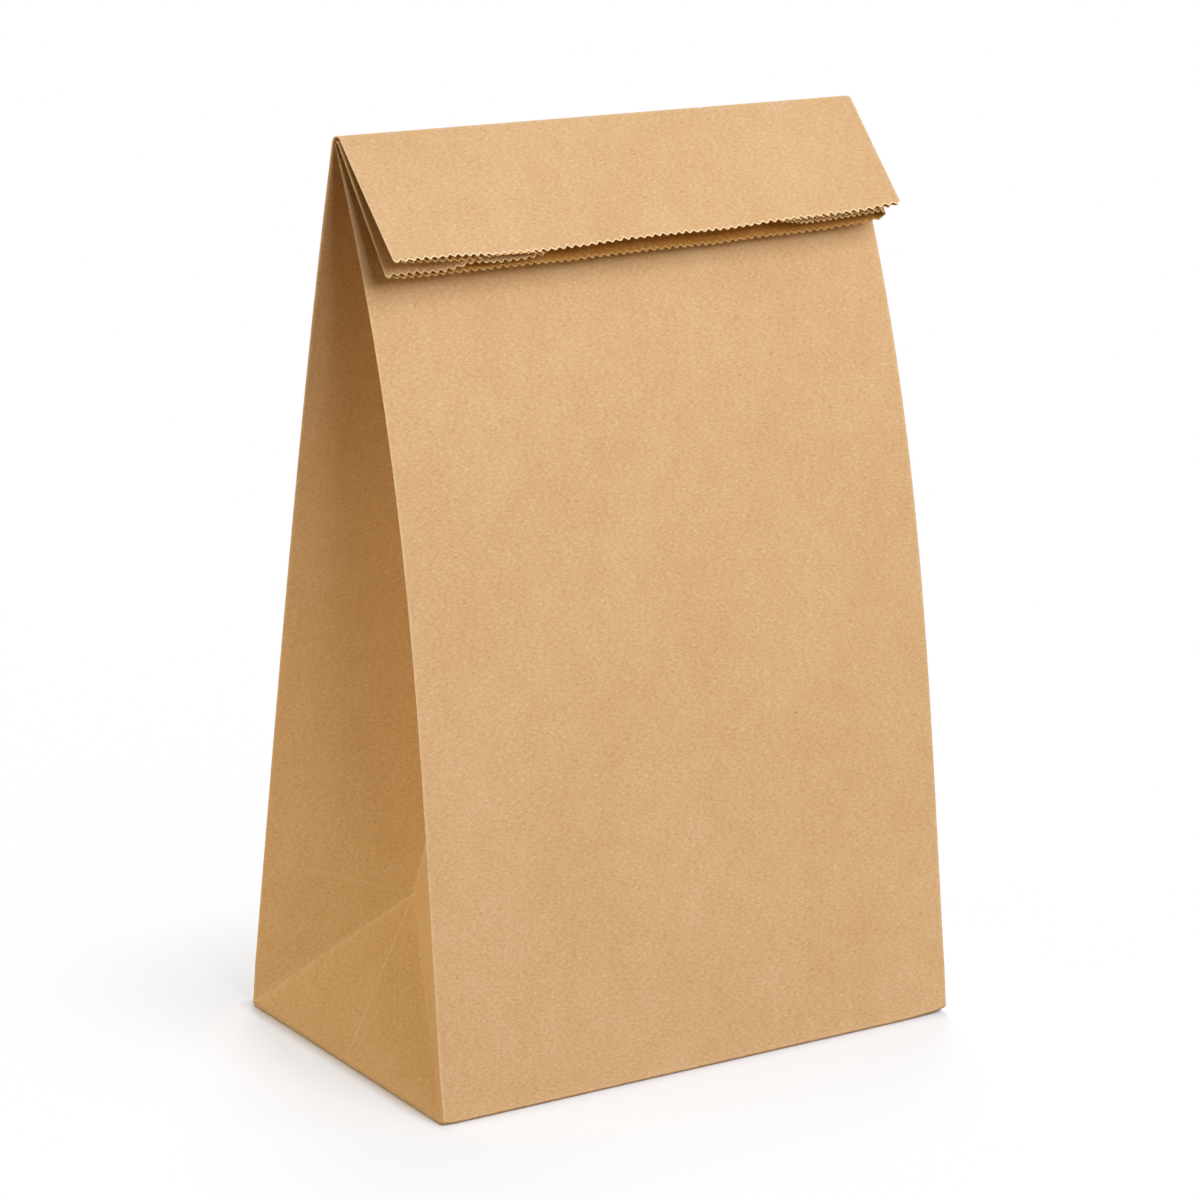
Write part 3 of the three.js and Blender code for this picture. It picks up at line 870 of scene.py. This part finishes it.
def kraft_group():
    """Kraft pulp on the flat sheet: fibres, mottling, bark specks, rubbed folds that are also a painted
    highlight, and a pale frayed cut that is partly a painted highlight.
    """
    tree = bpy.data.node_groups.new("kraft_pulp", "ShaderNodeTree")
    sockets = (("Sheet", "INPUT", "NodeSocketVector"), ("Paper", "INPUT", "NodeSocketColor"),
               ("Speck", "INPUT", "NodeSocketColor"), ("Fibre", "INPUT", "NodeSocketFloat"),
               ("Mottle", "INPUT", "NodeSocketFloat"), ("Rubbed and lit", "INPUT", "NodeSocketFloat"),
               ("Cut edge tone", "INPUT", "NodeSocketColor"), ("Frayed and lit", "INPUT", "NodeSocketFloat"),
               ("Color", "OUTPUT", "NodeSocketColor"), ("Roughness", "OUTPUT", "NodeSocketFloat"),
               ("Height", "OUTPUT", "NodeSocketFloat"))
    for name, way, kind in sockets:
        tree.interface.new_socket(name=name, in_out=way, socket_type=kind)
    inputs = add_node(tree, "NodeGroupInput").outputs
    outputs = add_node(tree, "NodeGroupOutput").inputs
    sheet = inputs["Sheet"]

    warp = add_node(tree, "ShaderNodeTexNoise", noise_dimensions="2D")
    warp.inputs["Scale"].default_value = BEND_SCALE
    tree.links.new(sheet, warp.inputs["Vector"])
    bent = add_node(tree, "ShaderNodeVectorMath", operation="MULTIPLY_ADD")
    tree.links.new(warp.outputs["Color"], bent.inputs[0])
    bent.inputs[1].default_value = BEND
    tree.links.new(sheet, bent.inputs[2])
    bent = bent.outputs[0]

    across, upward, slanted = (grain(tree, bent, *layer) for layer in FIBRE_LAYERS)
    fibres = reckon(tree, "ADD", reckon(tree, "ADD", across, upward), slanted)
    fibres = remap(tree, fibres, *FIBRE_RANGE, -1, 1)
    clouds = remap(tree, grain(tree, sheet, *CLOUDS), *MOTTLE_RANGE, -1, 1)
    drifts = remap(tree, grain(tree, sheet, *DRIFTS), *MOTTLE_RANGE, -1, 1)
    mottle = reckon(tree, "MULTIPLY", reckon(tree, "ADD", drifts, clouds), MOTTLE_SHARE)

    tone = reckon(tree, "MULTIPLY", fibres, inputs["Fibre"])
    tone = reckon(tree, "MULTIPLY_ADD", mottle, inputs["Mottle"], tone)
    darker = remap(tree, tone, 0, -TONE_LIMIT, 0, TONE_LIMIT)
    lighter = remap(tree, tone, 0, TONE_LIMIT, 0, TONE_LIMIT)
    colour = blend_colours(tree, "MULTIPLY", darker, inputs["Paper"], DARKER_TINT)
    colour = blend_colours(tree, "SCREEN", lighter, colour, LIGHTER_TINT)

    cells = add_node(tree, "ShaderNodeTexVoronoi", voronoi_dimensions="2D")
    cells.inputs["Scale"].default_value = SPECK_SCALE
    tree.links.new(bent, cells.inputs["Vector"])
    dots = remap(tree, cells.outputs["Distance"], *SPECK_RADII, 1, 0)
    split = add_node(tree, "ShaderNodeSeparateColor")
    tree.links.new(cells.outputs["Color"], split.inputs[0])
    chosen = remap(tree, split.outputs[0], CLEAN_SHARE, 1, 0, SPECK_STRENGTH)
    specks = reckon(tree, "MULTIPLY", dots, chosen)
    colour = blend_colours(tree, "MIX", specks, colour, inputs["Speck"])

    # The folds are lightened for wear and as a painted highlight of the outer folds and base edge catching
    # light
    patches = remap(tree, grain(tree, sheet, *PATCHES), *PATCH_RANGE, LEAST_RUBBED, 1)
    rubbed_and_lit = reckon(tree, "MULTIPLY", inputs["Rubbed and lit"], patches)
    colour = blend_colours(tree, "SCREEN", rubbed_and_lit, colour, RUBBED_AND_LIT_TINT)
    # The frayed band along the cut takes the edge tone: torn fibres, with a painted highlight on the outer
    # face and painted shade on the inner face
    colour = blend_colours(tree, "MIX", inputs["Frayed and lit"], colour, inputs["Cut edge tone"])

    tree.links.new(colour, outputs["Color"])
    tree.links.new(remap(tree, fibres, -1, 1, *FIBRE_ROUGHNESS), outputs["Roughness"])
    tree.links.new(reckon(tree, "MULTIPLY_ADD", clouds, CLOUD_RELIEF, fibres), outputs["Height"])
    return tree


def paper_finish(name, group, colour, edge_tone, finish, gloss, millimetres):
    """A paper material on the flat sheet's own coordinates."""
    material = bpy.data.materials.new(name)
    material.use_nodes = True
    material.diffuse_color = (*colour, 1)
    tree = material.node_tree
    shader = tree.nodes["Principled BSDF"]
    uv = add_node(tree, "ShaderNodeUVMap", uv_map="sheet")
    sheet = add_node(tree, "ShaderNodeVectorMath", operation="SCALE")
    sheet.inputs["Scale"].default_value = millimetres
    tree.links.new(uv.outputs[0], sheet.inputs[0])
    pulp = add_node(tree, "ShaderNodeGroup", node_tree=group)
    tree.links.new(sheet.outputs[0], pulp.inputs["Sheet"])
    pulp.inputs["Paper"].default_value = (*colour, 1)
    pulp.inputs["Speck"].default_value = (*finish.speck, 1)
    pulp.inputs["Fibre"].default_value = finish.fibre
    pulp.inputs["Mottle"].default_value = finish.mottle
    # Fold paleness: wear, and a painted highlight of the outer folds
    worn_and_lit = add_node(tree, "ShaderNodeAttribute", attribute_name="fold_wear_and_highlight")
    tree.links.new(reckon(tree, "MULTIPLY", worn_and_lit.outputs["Fac"], finish.wear_and_highlight), pulp.inputs["Rubbed and lit"])
    frayed_and_lit = add_node(tree, "ShaderNodeAttribute", attribute_name="cut_fray_and_highlight")
    tree.links.new(reckon(tree, "MULTIPLY", frayed_and_lit.outputs["Fac"], finish.fray_and_highlight), pulp.inputs["Frayed and lit"])
    pulp.inputs["Cut edge tone"].default_value = (*edge_tone, 1)
    bump = add_node(tree, "ShaderNodeBump")
    bump.inputs["Strength"].default_value = RELIEF_STRENGTH
    bump.inputs["Distance"].default_value = RELIEF_DEPTH
    tree.links.new(pulp.outputs["Height"], bump.inputs["Height"])
    tree.links.new(pulp.outputs["Color"], shader.inputs["Base Color"])
    tree.links.new(pulp.outputs["Roughness"], shader.inputs["Roughness"])
    tree.links.new(bump.outputs[0], shader.inputs["Normal"])
    shader.inputs["Specular IOR Level"].default_value = gloss
    return material


# The stage


def seen_rays(tree):
    """1 for rays that the camera sees, also by way of gloss or glass, and 0 for the light they gather."""
    rays = add_node(tree, "ShaderNodeLightPath").outputs
    seen = reckon(tree, "MAXIMUM", rays["Is Camera Ray"], rays["Is Glossy Ray"])
    return reckon(tree, "MAXIMUM", seen, rays["Is Transmission Ray"])


def floor_finish(setup):
    """White floor that keeps a pale shadow near the bag and is plain white far off."""
    material = bpy.data.materials.new("studio_floor")
    material.use_nodes = True
    tree = material.node_tree
    tree.nodes.remove(tree.nodes["Principled BSDF"])
    place = add_node(tree, "ShaderNodeTexCoord")
    base = add_node(tree, "ShaderNodeVectorMath", operation="ABSOLUTE")
    tree.links.new(place.outputs["Object"], base.inputs[0])
    outside = add_node(tree, "ShaderNodeVectorMath", operation="SUBTRACT")
    tree.links.new(base.outputs[0], outside.inputs[0])
    outside.inputs[1].default_value = (HIGH_CORNER.x, HIGH_CORNER.y, 0)
    beyond = add_node(tree, "ShaderNodeVectorMath", operation="MAXIMUM")
    tree.links.new(outside.outputs[0], beyond.inputs[0])
    distance = add_node(tree, "ShaderNodeVectorMath", operation="LENGTH")
    tree.links.new(beyond.outputs[0], distance.inputs[0])
    away = distance.outputs["Value"]
    near = remap(tree, away, 0, NEAR_REACH, setup.near_lift, setup.far_lift)
    far = remap(tree, away, NEAR_REACH, FAR_REACH, 0, 1 - setup.far_lift)
    lift = reckon(tree, "MULTIPLY", reckon(tree, "ADD", near, far), remap(tree, away, 0, CONTACT))
    seen = seen_rays(tree)
    matt = add_node(tree, "ShaderNodeBsdfDiffuse")
    colour = blend_colours(tree, "MIX", seen, (*setup.bounce, 1), (*setup.floor, 1))
    tree.links.new(colour, matt.inputs["Color"])
    white = add_node(tree, "ShaderNodeEmission")
    mix = add_node(tree, "ShaderNodeMixShader")
    tree.links.new(reckon(tree, "MULTIPLY", lift, seen), mix.inputs[0])
    tree.links.new(matt.outputs[0], mix.inputs[1])
    tree.links.new(white.outputs[0], mix.inputs[2])
    tree.links.new(mix.outputs[0], tree.nodes["Material Output"].inputs["Surface"])
    return material


def studio_floor(setup):
    """The floor that the bag stands on."""
    bm = bmesh.new()
    bmesh.ops.create_grid(bm, x_segments=setup.columns, y_segments=setup.columns, size=FLOOR_HALF)
    return mesh_object("studio_floor", bm, [floor_finish(setup)])


def studio_world(setup):
    """Faint warm light from all around, in place of which the camera sees plain white."""
    world = bpy.data.worlds.new("studio_world")
    world.use_nodes = True
    tree = world.node_tree
    background = tree.nodes["Background"]
    seen = seen_rays(tree)
    colour = blend_colours(tree, "MIX", seen, (*setup.ambient_colour, 1), (1, 1, 1, 1))
    tree.links.new(colour, background.inputs["Color"])
    tree.links.new(remap(tree, seen, 0, 1, setup.ambient, 1), background.inputs["Strength"])
    bpy.context.scene.world = world


def soft_lamp(name, power, azimuth, elevation, size=1, colour=(1, 1, 1)):
    """A square soft lamp around the bag, its azimuth counted from the front to the right, in degrees."""
    lamp = bpy.data.lights.new(name, "AREA")
    lamp.size = size
    lamp.energy = power
    lamp.color = colour
    turn, rise = azimuth * DEG, elevation * DEG
    away = Vector((math.sin(turn) * math.cos(rise), -math.cos(turn) * math.cos(rise), math.sin(rise)))
    holder = bpy.data.objects.new(name, lamp)
    holder.location = LAMP_AIM + LAMP_DISTANCE * away
    holder.rotation_euler = away.to_track_quat("Z", "Y").to_euler()
    bpy.context.scene.collection.objects.link(holder)


def photo_camera(setup):
    """The camera at the photograph's viewing angle."""
    camera = bpy.data.cameras.new("photo_camera")
    camera.sensor_width = SENSOR_WIDTH
    camera.lens = setup.lens
    camera.clip_end = FARTHEST_SIGHT
    holder = bpy.data.objects.new("photo_camera", camera)
    ahead = Vector((math.sin(CAMERA_YAW), math.cos(CAMERA_YAW), 0))
    level = Vector((math.cos(CAMERA_YAW), -math.sin(CAMERA_YAW), 0))
    forward = math.cos(CAMERA_PITCH) * ahead - Vector((0, 0, math.sin(CAMERA_PITCH)))
    down = forward.cross(level)
    right = math.cos(CAMERA_ROLL) * level + math.sin(CAMERA_ROLL) * down
    up = math.sin(CAMERA_ROLL) * level - math.cos(CAMERA_ROLL) * down
    turn = Matrix((right, up, -forward)).transposed()
    holder.matrix_world = Matrix.Translation(CAMERA_PLACE) @ turn.to_4x4()
    bpy.context.scene.collection.objects.link(holder)
    bpy.context.scene.camera = holder


# Operators and panel


class FoldBag(bpy.types.Operator):
    """Fold the bag from its flat sheet and give it its paper finishes"""

    bl_idname = "paper_bag.fold_bag"
    bl_label = "Fold the bag"

    def execute(self, context):
        sizes, finish = context.scene.bag_sizes, context.scene.paper_finish
        group = kraft_group()
        millimetres = FoldedForm(sizes).girth / MM
        faces = (("kraft_outside", finish.outside, finish.cut_edge, finish.gloss),
                 # The inner face's darker colour is painted shade of the interior
                 ("kraft_inside_shaded", finish.inside, finish.shaded_edge, 0),
                 # The cut edge's faces are pale torn fibres with a painted highlight
                 ("kraft_cut_edge", finish.cut_edge, finish.cut_edge, 0))
        finishes = [paper_finish(name, group, colour, edge_tone, finish, gloss, millimetres)
                    for name, colour, edge_tone, gloss in faces]
        bag = paper_bag(sizes, finishes)
        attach(bag, "root")
        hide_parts("paper_bag")
        return {"FINISHED"}


class SetStage(bpy.types.Operator):
    """Set the floor, the lamps and the camera"""

    bl_idname = "paper_bag.set_stage"
    bl_label = "Set the stage"

    def execute(self, context):
        setup = context.scene.stage_setup
        studio_floor(setup)
        studio_world(setup)
        soft_lamp("key_lamp", setup.key, azimuth=5, elevation=40, size=1.3)
        soft_lamp("front_lamp", setup.front, azimuth=15, elevation=15, colour=setup.front_colour)
        soft_lamp("right_lamp", setup.right, azimuth=60, elevation=50)
        soft_lamp("fill_lamp", setup.fill, azimuth=-102, elevation=10, colour=setup.fill_colour)
        soft_lamp("back_lamp", setup.back, azimuth=150, elevation=35)
        photo_camera(setup)
        context.scene.view_settings.view_transform = "Standard"
        return {"FINISHED"}


class BagPanel(bpy.types.Panel):
    """Sizes, finishes and stage of the paper bag"""

    bl_idname = "VIEW3D_PT_paper_bag"
    bl_label = "Paper bag"
    bl_space_type = "VIEW_3D"
    bl_region_type = "UI"
    bl_category = "Paper bag"

    def draw(self, context):
        layout = self.layout
        scene = context.scene
        for group in (scene.bag_sizes, scene.paper_finish, scene.stage_setup):
            column = layout.column(align=True)
            for name in group.__annotations__:
                column.prop(group, name)
        layout.operator(FoldBag.bl_idname)
        layout.operator(SetStage.bl_idname)


CLASSES = (BagSizes, PaperFinish, StageSetup, FoldBag, SetStage, BagPanel)


def register():
    for item in CLASSES:
        bpy.utils.register_class(item)
    bpy.types.Scene.bag_sizes = PointerProperty(type=BagSizes)
    bpy.types.Scene.paper_finish = PointerProperty(type=PaperFinish)
    bpy.types.Scene.stage_setup = PointerProperty(type=StageSetup)


def unregister():
    del bpy.types.Scene.stage_setup
    del bpy.types.Scene.paper_finish
    del bpy.types.Scene.bag_sizes
    for item in reversed(CLASSES):
        bpy.utils.unregister_class(item)


def main():
    register()
    bpy.ops.paper_bag.fold_bag()
    bpy.ops.paper_bag.set_stage()


if __name__ == "__main__":
    main()
